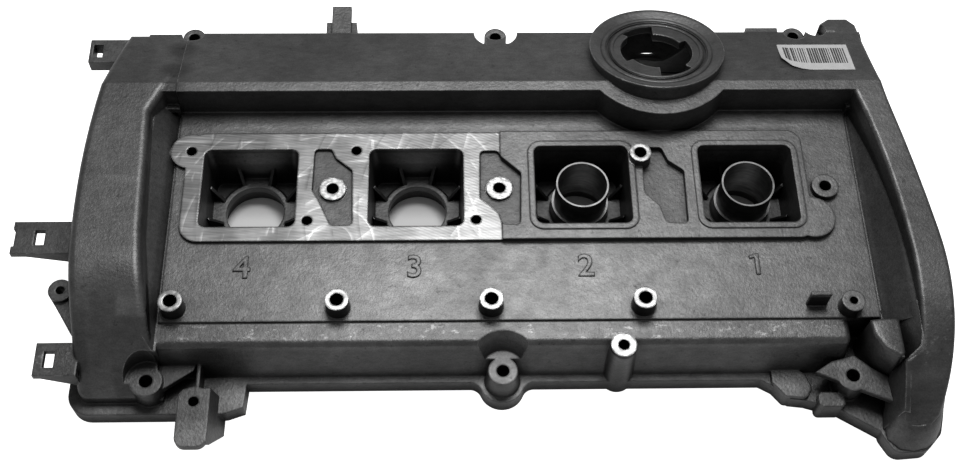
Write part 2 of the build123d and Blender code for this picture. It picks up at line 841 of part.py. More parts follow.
def foot_hole_place():
    x, y = spot(foot_tab_share)
    return x, y + foot_tab[1] * foot_tab_hole_share


def foot_bracket():
    """Screw tab that reaches forward from the left apron, with a web down one side."""
    x, y = spot(foot_tab_share)
    width, length, thickness = foot_tab
    plate = fillet((Pos(x, y) * Rectangle(width, length)).vertices(), foot_tab_web)
    tab = slab(plate, foot_tab_height - thickness, foot_tab_height)
    right = x + width / 2
    front = y - length / 2
    across = closed_face([
        (right - 2 * thickness, foot_tab_height), (right, foot_tab_height), (right + foot_tab_web, 0),
        (right - 2 * thickness, 0),
    ])
    web = Pos(0, y + length / 2, 0) * extrude(Plane.XZ * across, length)
    along = closed_face([
        (front + foot_tab_web / 2, foot_tab_height), (front + foot_tab_web / 2, foot_tab_height - thickness),
        (front + foot_tab_slant, 0), (y + length / 2, 0), (y + length / 2, foot_tab_height),
    ])
    tab += web & along_x(along, right - 2 * thickness, right + foot_tab_web)
    rib = Pos(x + foot_tab_web / 4, y + length / 2) * Rectangle(fin_thickness, length)
    tab += slab(rib, 0, foot_tab_height)
    return tab + post(foot_hole_place(), width / 2, flange_thickness / 2, foot_tab_height)


def foot_bracket_hole():
    return post(foot_hole_place(), foot_tab_hole_radius, -overrun, foot_tab_height + overrun)


def deck_fin():
    x, y = spot(fin_share)
    foot = Pos(x, y) * Rectangle(fin_length, fin_thickness)
    return slab(foot, deck_height - wall / 2, deck_height + fin_rise)


def apron_block():
    x, y = spot(block_share)
    length, width, rise = block_size
    face = fillet((Pos(x, y) * Rectangle(length, width)).vertices(), recess_corner)
    return slab(face, 0, flange_thickness + rise)


def apron_pad():
    """Rounded pad on the right apron, and a flat wedge beside the left corner boss."""
    places = spots(apron_pad_shares)
    pad_face = rounded(closed_face(places), places[2:5], recess_corner)
    wedge_face = closed_face(spots(corner_wedge_shares))
    low = bolt_seat_height - wall
    return slab(pad_face, 0, flange_thickness + block_size[2] / 2) + slab(wedge_face, low - wall, low)


def inside_ribs():
    """Cross ribs under the deck, kept inside the hollow."""
    rear = rear_reach / 2 + wall
    middle_y = (rear - front_reach) / 2
    ribs = []
    for share in rib_shares:
        face = Pos(share * plug_pitch, middle_y) * Rectangle(rib_thickness, front_reach + rear)
        ribs.append(slab(face, deck_height - wall - rib_depth, crest_height))
    return gathered(ribs)


# The whole casting

def casting():
    hollow = inner_form() - scoop_backs()
    body = outer_form() + pad() + well_lips() + filler_neck() + rear_bracket_tab() - rear_scoops()
    body += left_brackets()
    body -= hollow
    ring = flange_plan() - offset(body_plan(), -wall, kind=Kind.TANGENT)
    body += slab(ring, 0, flange_thickness)
    body += inside_ribs() & hollow
    body -= front_scoops() + pad_recesses()
    body += raised_bosses() + coil_screw_stems() + rear_columns() + front_columns()
    body += foot_bracket() + deck_fin() + apron_block() + apron_pad()
    body -= filler_chamber() + filler_groove()
    body -= filler_opening()
    for number in (1, 2, 3, 4):
        body += Pos(well_x(number), 0, 0) * well_tower()
    for number in (1, 2, 3, 4):
        body -= Pos(well_x(number), 0, 0) * well_pocket()
    body -= bolt_holes()
    body -= blind_holes()
    body -= foot_bracket_hole() + left_bracket_slots()
    return body - gasket_groove()


# Plug tubes

def plug_tube():
    """Thin stepped tube: foot in the spigot, body, shoulder and neck."""
    foot = spigot_bore_radius - tube_fit
    cone = spigot_height + tube_cone_rise
    outer = [
        (foot, tube_foot_lift), (foot, spigot_height), (tube_body_radius, cone),
        (tube_body_radius, tube_shoulder_height), (tube_neck_radius, tube_shoulder_height),
        (tube_neck_radius, tube_top_height),
    ]
    inner = [
        (tube_neck_radius - tube_wall, tube_top_height),
        (tube_neck_radius - tube_wall, tube_shoulder_height - tube_wall),
        (tube_body_radius - tube_wall, tube_shoulder_height - tube_wall), (tube_body_radius - tube_wall, cone),
        (foot - tube_wall, spigot_height), (foot - tube_wall, tube_foot_lift),
    ]
    return revolve(Plane.XZ * closed_face(outer + inner), Axis.Z)


cover = casting()
export_step(cover, "parts/valve_cover_casting.step")
for well_number in (1, 2):
    tube = Pos(well_x(well_number), 0, 0) * plug_tube()
    export_step(tube, f"parts/plug_tube_{well_number}.step")
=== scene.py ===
"""Visual model of a die-cast engine valve cover.

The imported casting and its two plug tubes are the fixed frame. This script gives them their
finishes, adds the raised cylinder digits, the beads of the filler dish, the blended forms of the
right nose and the paper label, and sets up the floor, the light and the camera.
"""

from __future__ import annotations

import logging
import math
from dataclasses import dataclass
from enum import Enum

import bpy
from mathutils import Matrix, Vector


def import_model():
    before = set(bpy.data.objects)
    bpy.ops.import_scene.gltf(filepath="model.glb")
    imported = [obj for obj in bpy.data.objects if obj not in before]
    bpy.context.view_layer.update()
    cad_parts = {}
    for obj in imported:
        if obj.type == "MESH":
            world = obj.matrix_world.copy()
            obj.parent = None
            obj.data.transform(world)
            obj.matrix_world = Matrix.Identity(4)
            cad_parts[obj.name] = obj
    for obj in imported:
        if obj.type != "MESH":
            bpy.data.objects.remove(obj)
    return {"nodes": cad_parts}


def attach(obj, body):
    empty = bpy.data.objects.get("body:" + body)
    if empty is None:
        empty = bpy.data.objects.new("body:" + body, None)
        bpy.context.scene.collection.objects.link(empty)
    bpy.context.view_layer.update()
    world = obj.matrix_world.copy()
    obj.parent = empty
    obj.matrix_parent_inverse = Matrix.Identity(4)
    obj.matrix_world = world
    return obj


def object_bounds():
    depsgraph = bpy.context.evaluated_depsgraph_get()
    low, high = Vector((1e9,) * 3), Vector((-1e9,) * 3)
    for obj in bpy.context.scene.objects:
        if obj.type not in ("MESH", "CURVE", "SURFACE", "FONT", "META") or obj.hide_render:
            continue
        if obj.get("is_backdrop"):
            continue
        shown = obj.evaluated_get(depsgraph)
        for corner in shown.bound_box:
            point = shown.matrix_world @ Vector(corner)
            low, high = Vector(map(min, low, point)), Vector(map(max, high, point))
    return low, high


LOG = logging.getLogger("valve_cover")
MM = 0.001
BODY = "root"
CASTING = "valve_cover_casting"
TUBES = ("plug_tube_1", "plug_tube_2")
# Tone of the darker copy of the cast material on the digits' sides, which paints shade there.
SHADED_SIDE_TONE = 0.042
SMOOTH_ANGLE = math.radians(40)
REAR_SLOPE_ANGLE = 17.6

Point = tuple[float, float, float]


class Slot(Enum):
    """Material slots of the record that added pieces take their finish from."""

    CASTING = "cast_alloy"


class Height(Enum):
    """Heights of the casting's level faces above the gasket plane, in millimetres."""

    DECK = 37.5
    MILLED = 39.5
    RAIL_BOSS = 47.0
    CREST = 57.0


@dataclass(frozen=True)
class Pattern:
    """A noise pattern and the range it is mapped to.

    Its features have a size in metres. Its values from low to high become values from start to end.
    """

    size: float
    detail: float
    low: float
    high: float
    start: float = 0.0
    end: float = 1.0
    stretch: Point = (1.0, 1.0, 1.0)
    roughness: float = 0.5


class Graph:
    """Short calls that add the shader nodes of one material and join them."""

    def __init__(self, material: bpy.types.Material) -> None:
        """Starts from an empty node tree with a Principled shader.

        Args:
            material: The material whose nodes are made.
        """
        material.use_nodes = True
        self.tree = material.node_tree
        self.tree.nodes.clear()
        self.shader = self.add("ShaderNodeBsdfPrincipled")
        output = self.add("ShaderNodeOutputMaterial")
        self.join(self.shader.outputs["BSDF"], output.inputs["Surface"])
        self.coords = self.add("ShaderNodeTexCoord").outputs["Object"]
        self.geometry = self.add("ShaderNodeNewGeometry")

    def add(self, kind: str, **settings: object) -> bpy.types.Node:
        """Adds a node of a kind and sets its properties.

        Args:
            kind: Blender's type name of the node.
            **settings: Properties of the node by name.

        Returns:
            The new node.
        """
        node = self.tree.nodes.new(kind)
        for name, value in settings.items():
            setattr(node, name, value)
        return node

    def join(self, source: object, target: bpy.types.NodeSocket) -> None:
        """Links an output to a socket, or sets the socket to a plain value.

        Args:
            source: An output socket or a value.
            target: The input socket.
        """
        if isinstance(source, bpy.types.NodeSocket):
            self.tree.links.new(source, target)
        else:
            target.default_value = source

    def math(self, operation: str, *values: object, clamp: bool = False) -> bpy.types.NodeSocket:
        """A Math node.

        Args:
            operation: Blender's name of the operation.
            *values: Its inputs, sockets or numbers.
            clamp: Whether the result is held between 0 and 1.

        Returns:
            The result's socket.
        """
        node = self.add("ShaderNodeMath", operation=operation, use_clamp=clamp)
        for value, target in zip(values, node.inputs):
            self.join(value, target)
        return node.outputs[0]

    def vector(self, operation: str, *values: object) -> bpy.types.Node:
        """A Vector Math node.

        Args:
            operation: Blender's name of the operation.
            *values: Its inputs, sockets or vectors.

        Returns:
            The node.
        """
        node = self.add("ShaderNodeVectorMath", operation=operation)
        for value, target in zip(values, node.inputs):
            self.join(value, target)
        return node

    def noise(self, size: float, detail: float = 3.0, stretch: Point = (1, 1, 1),
              roughness: float = 0.5) -> bpy.types.NodeSocket:
        """A noise pattern on Object coordinates.

        Args:
            size: Size of the pattern's features, in metres.
            detail: Number of finer layers.
            stretch: Factors on the coordinates, so that features run along an axis.
            roughness: Weight of the finer layers.

        Returns:
            The pattern, from 0 to 1.
        """
        place = self.vector("MULTIPLY", self.coords, stretch).outputs[0]
        node = self.add("ShaderNodeTexNoise", noise_dimensions="3D")
        self.join(place, node.inputs["Vector"])
        node.inputs["Scale"].default_value = 1 / size
        node.inputs["Detail"].default_value = detail
        node.inputs["Roughness"].default_value = roughness
        return node.outputs["Fac"]

    def spread(self, source: bpy.types.NodeSocket, low: float, high: float, to_low: float = 0.0,
               to_high: float = 1.0) -> bpy.types.NodeSocket:
        """Maps a range of values to another range, held at both ends.

        Args:
            source: The value.
            low: Lowest value that counts.
            high: Highest value that counts.
            to_low: Result at the lowest value.
            to_high: Result at the highest value.

        Returns:
            The mapped value.
        """
        node = self.add("ShaderNodeMapRange", interpolation_type="SMOOTHSTEP")
        for value, name in ((source, "Value"), (low, "From Min"), (high, "From Max"), (to_low, "To Min"),
                            (to_high, "To Max")):
            self.join(value, node.inputs[name])
        return node.outputs["Result"]

    def pattern(self, pattern: Pattern) -> bpy.types.NodeSocket:
        """A noise pattern mapped to its own range.

        Args:
            pattern: The pattern.

        Returns:
            The mapped value.
        """
        noise = self.noise(pattern.size, pattern.detail, pattern.stretch, pattern.roughness)
        return self.spread(noise, pattern.low, pattern.high, pattern.start, pattern.end)

    def mix(self, share: object, first: object, second: object) -> bpy.types.NodeSocket:
        """Mixes two values.

        Args:
            share: Share of the second value.
            first: Value where the share is 0.
            second: Value where the share is 1.

        Returns:
            The mixed value.
        """
        node = self.add("ShaderNodeMix", data_type="FLOAT")
        for value, index in ((share, 0), (first, 2), (second, 3)):
            self.join(value, node.inputs[index])
        return node.outputs[0]

    def grey(self, value: bpy.types.NodeSocket) -> bpy.types.NodeSocket:
        """A grey colour.

        Args:
            value: How light it is.

        Returns:
            The colour.
        """
        node = self.add("ShaderNodeCombineColor")
        for target in node.inputs[:3]:
            self.join(value, target)
        return node.outputs[0]

    def axes(self) -> tuple[bpy.types.NodeSocket, bpy.types.NodeSocket, bpy.types.NodeSocket]:
        """The Object coordinates apart.

        Returns:
            X, Y and Z.
        """
        node = self.add("ShaderNodeSeparateXYZ")
        self.join(self.coords, node.inputs[0])
        return node.outputs[0], node.outputs[1], node.outputs[2]

    def distance(self, place: Point) -> bpy.types.NodeSocket:
        """Distance from a place that is given in millimetres.

        Args:
            place: The place.

        Returns:
            The distance in metres.
        """
        metres = tuple(value * MM for value in place)
        return self.vector("DISTANCE", self.coords, metres).outputs["Value"]

    def facing_up(self, least: float) -> bpy.types.NodeSocket:
        """1 on faces that lie level, 0 on those that lean.

        Args:
            least: Smallest upward part of the normal that counts as level.

        Returns:
            The mask.
        """
        node = self.add("ShaderNodeSeparateXYZ")
        self.join(self.geometry.outputs["True Normal"], node.inputs[0])
        return self.math("GREATER_THAN", node.outputs[2], least)

    def bump(self, height: bpy.types.NodeSocket, distance: float, strength: object = 1.0,
             normal: bpy.types.NodeSocket | None = None) -> bpy.types.NodeSocket:
        """A bump from a height pattern.

        Args:
            height: The pattern.
            distance: Depth of the bump, in metres.
            strength: Strength of the bump.
            normal: Normal to start from.

        Returns:
            The bumped normal.
        """
        node = self.add("ShaderNodeBump")
        node.inputs["Distance"].default_value = distance
        self.join(strength, node.inputs["Strength"])
        self.join(height, node.inputs["Height"])
        if normal is not None:
            self.join(normal, node.inputs["Normal"])
        return node.outputs[0]


@dataclass(frozen=True)
class Zone:
    """A box of the casting, in mm, where its skin is darker by a factor below 1, painted shade, and
    lighter by a factor above 1, painted light.
    """

    x: tuple[float, float]
    y: tuple[float, float]
    z: tuple[float, float]
    factor: float


@dataclass(frozen=True)
class Stain:
    """A round spot of painted shade on the casting, in mm, that takes a share of the light at its middle.
    """

    place: Point
    reach: float
    depth: float


@dataclass(frozen=True)
class Sweep:
    """Arcs that a tool left on the milled pad, round a centre and at a pitch in mm."""

    centre: Point
    pitch: float
    tone: float


@dataclass(frozen=True)
class CastFinish:
    """Dark grey die-cast alloy, mottled, with painted shade in its corners and painted light and shade in
    places, with milled and turned faces.
    """

    name: str = "cast_alloy"
    tone: float = 0.085
    metal: float = 0.8
    roughness: float = 0.42
    roughness_range: float = 0.16
    samples: int = 6
    round_radius: float = 1.3 * MM
    edge_range: tuple[float, float] = (0.02, 0.22)
    soil_reach: float = 16 * MM
    soil_range: tuple[float, float] = (0.10, 0.95)
    soil_tone: float = 0.20
    worn_range: tuple[float, float] = (0.7, 1.0)
    worn_tone: float = 0.34
    milled_tone: float = 0.142
    milled_roughness: float = 0.36
    milled_rear: float = 40 * MM
    ring_tone: float = 0.30
    ring_roughness: float = 0.34
    ring_seats: tuple[Point, ...] = (
        (-88.0, -0.9, 39.5), (0.0, -0.9, 39.5), (75.4, 16.9, 46.0), (59.6, -92.9, 40.5),
    )
    ring_radius: float = 7.7 * MM
    ring_speckle: Pattern = Pattern(0.0022, 4.0, 0.34, 0.66, 0.48, 1.12)
    blotches: Pattern = Pattern(0.055, 3.0, 0.3, 0.7, 0.84, 1.14)
    grain: tuple[Pattern, ...] = (
        Pattern(0.009, 5.0, 0.28, 0.72, 0.88, 1.12, roughness=0.6),
        Pattern(0.0024, 4.0, 0.28, 0.72, 0.88, 1.12, (0.45, 1.0, 1.0), 0.6),
        Pattern(0.0008, 2.0, 0.28, 0.72, 0.86, 1.14, roughness=0.6),
    )
    pits: Pattern = Pattern(0.0035, 4.0, 0.60, 0.72, 1.0, 0.55, roughness=0.7)
    worn_chips: Pattern = Pattern(0.004, 4.0, 0.40, 0.62, 0.15, 0.9, roughness=0.7)
    ledge_chips: Pattern = Pattern(0.0032, 4.0, 0.56, 0.68, 0.86, 1.9, (0.6, 1.0, 1.0), 0.7)
    milled_patches: Pattern = Pattern(0.022, 3.0, 0.35, 0.65, 0.72, 1.25)
    milled_grain: Pattern = Pattern(0.0014, 2.0, 0.3, 0.7, 0.82, 1.16, (0.08, 1.0, 1.0))
    scratches: Pattern = Pattern(0.0045, 2.0, 0.64, 0.74, 1.0, 2.0, (0.10, 1.0, 1.0))
    glints: Pattern = Pattern(0.0050, 3.0, 0.66, 0.76, 1.0, 1.9, (1.0, 0.25, 1.0))
    sweep_gaps: Pattern = Pattern(0.016, 2.0, 0.44, 0.56)
    # Painted shade: dark spots in the crease by the left housing, on the slope beside the right nose and
    # in the pocket before it.
    stains: tuple[Stain, ...] = (
        Stain((-173.0, 84.0, 48.0), 11.0, 0.45),
        Stain((-173.5, 67.0, 54.0), 11.0, 0.45),
        Stain((-174.0, 51.0, 57.0), 9.0, 0.45),
        Stain((200.0, -118.0, 30.0), 15.0, 0.25),
        Stain((199.0, -104.0, 42.0), 9.0, 0.25),
        Stain((180.0, -78.0, 20.0), 22.0, 0.45),
    )
    stain_core: float = 0.35
    # Painted light and shade: boxes that darken the skin (factor below 1) and boxes that lighten it
    # (factor above 1).
    zones: tuple[Zone, ...] = (
        Zone((-150.0, 150.0), (-24.0, 32.0), (36.0, 38.2), 0.66),
        Zone((-150.0, 176.0), (37.0, 56.0), (36.0, 38.2), 1.3),
        Zone((191.0, 207.0), (-84.0, 52.0), (36.2, 49.0), 0.55),
        Zone((-260.0, -204.0), (-140.0, 130.0), (-1.0, 52.0), 0.8),
        Zone((-170.0, 170.0), (-125.0, -80.0), (10.5, 33.0), 0.78),
        Zone((-192.0, -158.0), (-80.0, 50.0), (38.6, 54.0), 1.6),
        Zone((-232.0, -208.0), (-70.0, 60.0), (30.0, 55.0), 0.84),
        Zone((-195.0, -150.0), (-130.0, -90.0), (-1.0, 32.0), 0.8),
        Zone((-160.0, 160.0), (-26.0, 27.0), (5.0, 28.0), 0.6),
        Zone((-225.0, -186.0), (-4.0, 90.0), (44.0, 60.0), 0.84),
        Zone((150.0, 196.0), (-128.0, -98.0), (-1.0, 26.0), 0.75),
    )
    zone_fade: float = 3 * MM
    dark_sides: float = 0.16
    side_level: float = 0.4
    side_right: float = 178 * MM
    side_rear: float = -60 * MM
    side_front: float = -100 * MM
    side_foot: float = 37.7 * MM
    ledge: float = -79 * MM
    ledge_floor: float = 30 * MM
    ledge_level: float = 0.9
    wear_floor: float = 30 * MM
    low_wear: float = 0.35
    level: float = 0.985
    height_tolerance: float = 0.12 * MM
    feed_mark: float = 1.6 * MM
    feed_depth: float = 0.007 * MM
    feed_tone: float = 0.035
    cutter_centre: Point = (-0.20, -0.40, 0.0)
    sweeps: tuple[Sweep, ...] = (
        Sweep((-88.0, -34.0, 39.5), 11.0, 1.7),
        Sweep((-150.0, 60.0, 39.5), 17.0, 1.5),
        Sweep((10.0, -12.0, 39.5), 14.0, 0.7),
    )
    sweep_width: float = 0.16
    wave_depth: float = 0.25 * MM
    skin_depth: float = 0.16 * MM

    def at_height(self, graph: Graph, height: Height) -> bpy.types.NodeSocket:
        """1 on faces at a height, 0 elsewhere.

        Args:
            graph: The material's nodes.
            height: The height.

        Returns:
            The mask.
        """
        return graph.math("COMPARE", graph.axes()[2], height.value * MM, self.height_tolerance)

    def milled(self, graph: Graph) -> bpy.types.NodeSocket:
        """1 on the milled half of the pad, 0 elsewhere.

        Args:
            graph: The material's nodes.

        Returns:
            The mask.
        """
        on_pad = graph.math("LESS_THAN", graph.axes()[1], self.milled_rear)
        level = graph.math("MULTIPLY", self.at_height(graph, Height.MILLED), graph.facing_up(self.level))
        return graph.math("MULTIPLY", level, on_pad)

    def rings(self, graph: Graph) -> bpy.types.NodeSocket:
        """1 on the turned tops of the screw bosses, 0 elsewhere.

        Args:
            graph: The material's nodes.

        Returns:
            The mask.
        """
        mask = self.at_height(graph, Height.RAIL_BOSS)
        for seat in self.ring_seats:
            ring = graph.math("LESS_THAN", graph.distance(seat), self.ring_radius)
            mask = graph.math("MAXIMUM", mask, ring)
        return graph.math("MULTIPLY", mask, graph.facing_up(self.level))

    def rounded(self, graph: Graph) -> tuple[bpy.types.NodeSocket, bpy.types.NodeSocket]:
        """The normal of softly rounded edges, and a mask of those edges.

        Args:
            graph: The material's nodes.

        Returns:
            The rounded normal, and a value that is above 0 near edges.
        """
        bevel = graph.add("ShaderNodeBevel", samples=self.samples)
        bevel.inputs["Radius"].default_value = self.round_radius
        turn = graph.vector("DOT_PRODUCT", bevel.outputs[0], graph.geometry.outputs["True Normal"])
        edge = graph.math("SUBTRACT", 1.0, turn.outputs["Value"])
        return bevel.outputs[0], graph.spread(edge, *self.edge_range)

    def soil(self, graph: Graph) -> bpy.types.NodeSocket:
        """Share of open sky seen from a point, low in corners; where it is low the skin gets painted
        shade.

        Args:
            graph: The material's nodes.

        Returns:
            The share, from 0 to 1.
        """
        node = graph.add("ShaderNodeAmbientOcclusion", samples=self.samples)
        node.inputs["Distance"].default_value = self.soil_reach
        return node.outputs["AO"]

    def inside(self, graph: Graph, zone: Zone) -> object:
        """Share of a zone at a point: 1 inside it, fading to 0 at its sides.

        Args:
            graph: The material's nodes.
            zone: The zone.

        Returns:
            The share.
        """
        share: object = 1.0
        for value, (low, high) in zip(graph.axes(), (zone.x, zone.y, zone.z)):
            middle, half = (low + high) / 2 * MM, (high - low) / 2 * MM
            reach = graph.math("ABSOLUTE", graph.math("SUBTRACT", value, middle))
            fade = min(self.zone_fade, half / 2)
            share = graph.math("MULTIPLY", share, graph.spread(reach, half - fade, half, 1.0, 0.0))
        return share

    def post_sides(self, graph: Graph) -> bpy.types.NodeSocket:
        """1 on the upright sides of the front posts and the fin, which get painted shade, 0 elsewhere.

        Args:
            graph: The material's nodes.

        Returns:
            The mask.
        """
        x, y, z = graph.axes()
        side = graph.math("SUBTRACT", 1.0, graph.facing_up(self.side_level))
        for value, limit, test in (
            (x, self.side_right, "LESS_THAN"),
            (y, self.side_rear, "LESS_THAN"),
            (y, self.side_front, "GREATER_THAN"),
            (z, self.side_foot, "GREATER_THAN"),
            (z, Height.RAIL_BOSS.value * MM, "LESS_THAN"),
        ):
            side = graph.math("MULTIPLY", side, graph.math(test, value, limit))
        return side

    def stained(self, graph: Graph, tone: bpy.types.NodeSocket) -> bpy.types.NodeSocket:
        """Paints shade on a grey in round spots and on the sides of the front posts, and paints light and
        shade in boxes.

        Args:
            graph: The material's nodes.
            tone: The grey.

        Returns:
            The grey with painted light and shade.
        """
        for shade_spot in self.stains:
            reach = shade_spot.reach * MM
            distance = graph.distance(shade_spot.place)
            shade = graph.spread(distance, self.stain_core * reach, reach, 1.0 - shade_spot.depth, 1.0)
            tone = graph.math("MULTIPLY", tone, shade)
        for zone in self.zones:
            tone = graph.math("MULTIPLY", tone, graph.mix(self.inside(graph, zone), 1.0, zone.factor))
        # Painted shade on the upright sides of the front posts and the fin.
        return graph.math("MULTIPLY", tone, graph.mix(self.post_sides(graph), 1.0, self.dark_sides))

    def rubbed(self, graph: Graph, tone: bpy.types.NodeSocket) -> bpy.types.NodeSocket:
        """Brightens a grey in chips on the front ledge, painted glints where light sparkles on it.

        Args:
            graph: The material's nodes.
            tone: The grey.

        Returns:
            The grey with painted glints.
        """
        _, y, z = graph.axes()
        front = graph.math("LESS_THAN", y, self.ledge)
        zone = graph.math("MULTIPLY", front, graph.facing_up(self.ledge_level))
        zone = graph.math("MULTIPLY", zone, graph.math("GREATER_THAN", z, self.ledge_floor))
        # Painted highlight: bright glint chips on the level top of the front ledge.
        chips = graph.pattern(self.ledge_chips)
        return graph.math("MULTIPLY", tone, graph.mix(zone, 1.0, chips))

    def cast_tone(self, graph: Graph, edge: bpy.types.NodeSocket) -> bpy.types.NodeSocket:
        """Grey of the cast skin: blotches, speckle and fine grain, with painted shade in corners, painted
        light and shade in spots and boxes, painted glints on the front ledge, and edges lighter from wear
        and a painted highlight.

        Args:
            graph: The material's nodes.
            edge: Mask of the edges.

        Returns:
            The grey value.
        """
        open_sky = self.soil(graph)
        tone = graph.pattern(self.blotches)
        for layer in (*self.grain, self.pits):
            tone = graph.math("MULTIPLY", tone, graph.pattern(layer))
        tone = graph.math("MULTIPLY", tone, self.tone)
        # Painted shade: the skin is darker where little open sky is seen, in corners, creases and
        # recesses.
        painted_shade = graph.spread(open_sky, *self.soil_range, self.soil_tone, 1.0)
        tone = graph.math("MULTIPLY", tone, painted_shade)
        tone = self.rubbed(graph, self.stained(graph, tone))
        # Edges lighter, partly from wear and partly a painted highlight, less so low down.
        wear_and_highlight = graph.math("MULTIPLY", edge, graph.spread(open_sky, *self.worn_range))
        height, floor = graph.axes()[2], self.wear_floor
        wear_and_highlight = graph.math("MULTIPLY", wear_and_highlight, graph.spread(height, 0.5 * floor, floor, self.low_wear))
        chips = graph.pattern(self.worn_chips)
        return graph.mix(graph.math("MULTIPLY", wear_and_highlight, chips), tone, self.worn_tone)

    def milled_face(self, graph: Graph, feed: bpy.types.NodeSocket) -> bpy.types.NodeSocket:
        """Grey of the milled pad: cutter marks, bright scratches, dull patches and painted glints.

        Args:
            graph: The material's nodes.
            feed: Wave of the cutter's marks.

        Returns:
            The grey value.
        """
        patch, fine = graph.pattern(self.milled_patches), graph.pattern(self.milled_grain)
        # Painted highlight: glints on the milled pad multiply its scratches.
        marks = graph.math("MULTIPLY", graph.pattern(self.scratches), graph.pattern(self.glints))
        bright = graph.math("MULTIPLY", graph.math("MULTIPLY", patch, fine), marks)
        bright = graph.math("MULTIPLY", bright, graph.math("MULTIPLY_ADD", feed, self.feed_tone, 1.0))
        for sweep in self.sweeps:
            turns = graph.math("DIVIDE", graph.distance(sweep.centre), sweep.pitch * MM)
            part = graph.math("FRACT", turns)
            gate = graph.pattern(self.sweep_gaps)
            line = graph.math("MULTIPLY", graph.spread(part, 0.0, self.sweep_width, 1.0, 0.0), gate)
            bright = graph.math("MULTIPLY", bright, graph.mix(line, 1.0, sweep.tone))
        return graph.math("MULTIPLY", bright, self.milled_tone)

    def build(self) -> bpy.types.Material:
        """Makes the material.

        Returns:
            The material.
        """
        material = bpy.data.materials.new(self.name)
        graph = Graph(material)
        milled, rings = self.milled(graph), self.rings(graph)
        normal, edge = self.rounded(graph)
        distance = graph.vector("DISTANCE", graph.coords, self.cutter_centre).outputs["Value"]
        feed = graph.math("SINE", graph.math("MULTIPLY", distance, 2 * math.pi / self.feed_mark))

        tone = graph.mix(milled, self.cast_tone(graph, edge), self.milled_face(graph, feed))
        ring = graph.math("MULTIPLY", graph.pattern(self.ring_speckle), self.ring_tone)
        graph.join(graph.grey(graph.mix(rings, tone, ring)), graph.shader.inputs["Base Color"])

        smoothest = self.roughness - self.roughness_range / 2
        rough = graph.math("MULTIPLY_ADD", graph.noise(0.010, 4.0), self.roughness_range, smoothest)
        rough = graph.mix(milled, rough, self.milled_roughness)
        graph.join(graph.mix(rings, rough, self.ring_roughness), graph.shader.inputs["Roughness"])
        graph.shader.inputs["Metallic"].default_value = self.metal

        cast = graph.math("SUBTRACT", 1.0, graph.math("MAXIMUM", milled, rings))
        half = graph.math("MULTIPLY", cast, 0.5)
        wave = graph.bump(graph.noise(0.012, 3.0), self.wave_depth, half, normal)
        skin = graph.bump(graph.noise(0.0016, 3.0, roughness=0.65), self.skin_depth, cast, wave)
        graph.join(graph.bump(feed, self.feed_depth, milled, skin), graph.shader.inputs["Normal"])
        return material


@dataclass(frozen=True)
class TubeFinish:
    """Drawn steel of the plug tubes, with marks that run round them."""

    name: str = "tube_steel"
    tone: float = 0.15
    smoothest: float = 0.35
    roughness_range: float = 0.15
    spots: Pattern = Pattern(0.006, 4.0, 0.3, 0.75, 0.7, 1.15)
    samples: int = 4
    round_radius: float = 0.25 * MM
    band_depth: float = 0.02 * MM

    def build(self) -> bpy.types.Material:
        """Makes the material.

        Returns:
            The material.
        """
        material = bpy.data.materials.new(self.name)
        graph = Graph(material)
        bands = graph.noise(0.0016, 3.0, (0.12, 0.12, 1.0))
        tone = graph.math("MULTIPLY", graph.spread(bands, 0.3, 0.7, 0.75, 1.2), self.tone)
        tone = graph.math("MULTIPLY", tone, graph.pattern(self.spots))
        graph.join(graph.grey(tone), graph.shader.inputs["Base Color"])
        rough = graph.math("MULTIPLY_ADD", bands, self.roughness_range, self.smoothest)
        graph.join(rough, graph.shader.inputs["Roughness"])
        graph.shader.inputs["Metallic"].default_value = 1.0
        bevel = graph.add("ShaderNodeBevel", samples=self.samples)
        bevel.inputs["Radius"].default_value = self.round_radius
        normal = graph.bump(bands, self.band_depth, 0.6, bevel.outputs[0])
        graph.join(normal, graph.shader.inputs["Normal"])
        return material


@dataclass(frozen=True)
class PaperFinish:
    """White label paper with plain dark bars, and bare where it is torn."""

    name: str = "label_paper"
    tone: float = 0.40
    ink_tone: float = 0.03
    roughness: float = 0.62
    mottle: Pattern = Pattern(0.003, 3.0, 0.3, 0.7, 0.94, 1.04)
    bar_pitch: float = 0.034
    bar_scatter: tuple[float, float] = (12.9898, 437.585)
    bar_field: tuple[float, float, float, float] = (0.06, 0.94, 0.26, 0.86)
    fibre_depth: float = 0.02 * MM

    def build(self) -> bpy.types.Material:
        """Makes the material.

        Returns:
            The material.
        """
        material = bpy.data.materials.new(self.name)
        graph = Graph(material)
        uv = graph.add("ShaderNodeSeparateXYZ")
        source = graph.add("ShaderNodeTexCoord").outputs["UV"]
        graph.join(source, uv.inputs[0])
        across, up = uv.outputs[0], uv.outputs[1]
        left, right, low, high = self.bar_field
        inside = graph.math("GREATER_THAN", across, left)
        for value, limit, test in ((across, right, "LESS_THAN"), (up, low, "GREATER_THAN"),
                                   (up, high, "LESS_THAN")):
            inside = graph.math("MULTIPLY", inside, graph.math(test, value, limit))
        step = graph.math("DIVIDE", across, self.bar_pitch)
        turn, scale = self.bar_scatter
        wave = graph.math("SINE", graph.math("MULTIPLY", graph.math("FLOOR", step), turn))
        width = graph.math("FRACT", graph.math("MULTIPLY", wave, scale))
        part = graph.math("FRACT", step)
        bar = graph.math("LESS_THAN", part, graph.math("MULTIPLY_ADD", width, 0.75, 0.15))
        ink = graph.math("MULTIPLY", bar, inside)
        paper = graph.math("MULTIPLY", graph.pattern(self.mottle), self.tone)
        graph.join(graph.grey(graph.mix(ink, paper, self.ink_tone)), graph.shader.inputs["Base Color"])
        graph.shader.inputs["Roughness"].default_value = self.roughness
        graph.join(graph.bump(graph.noise(0.0008, 2.0), self.fibre_depth), graph.shader.inputs["Normal"])
        return material


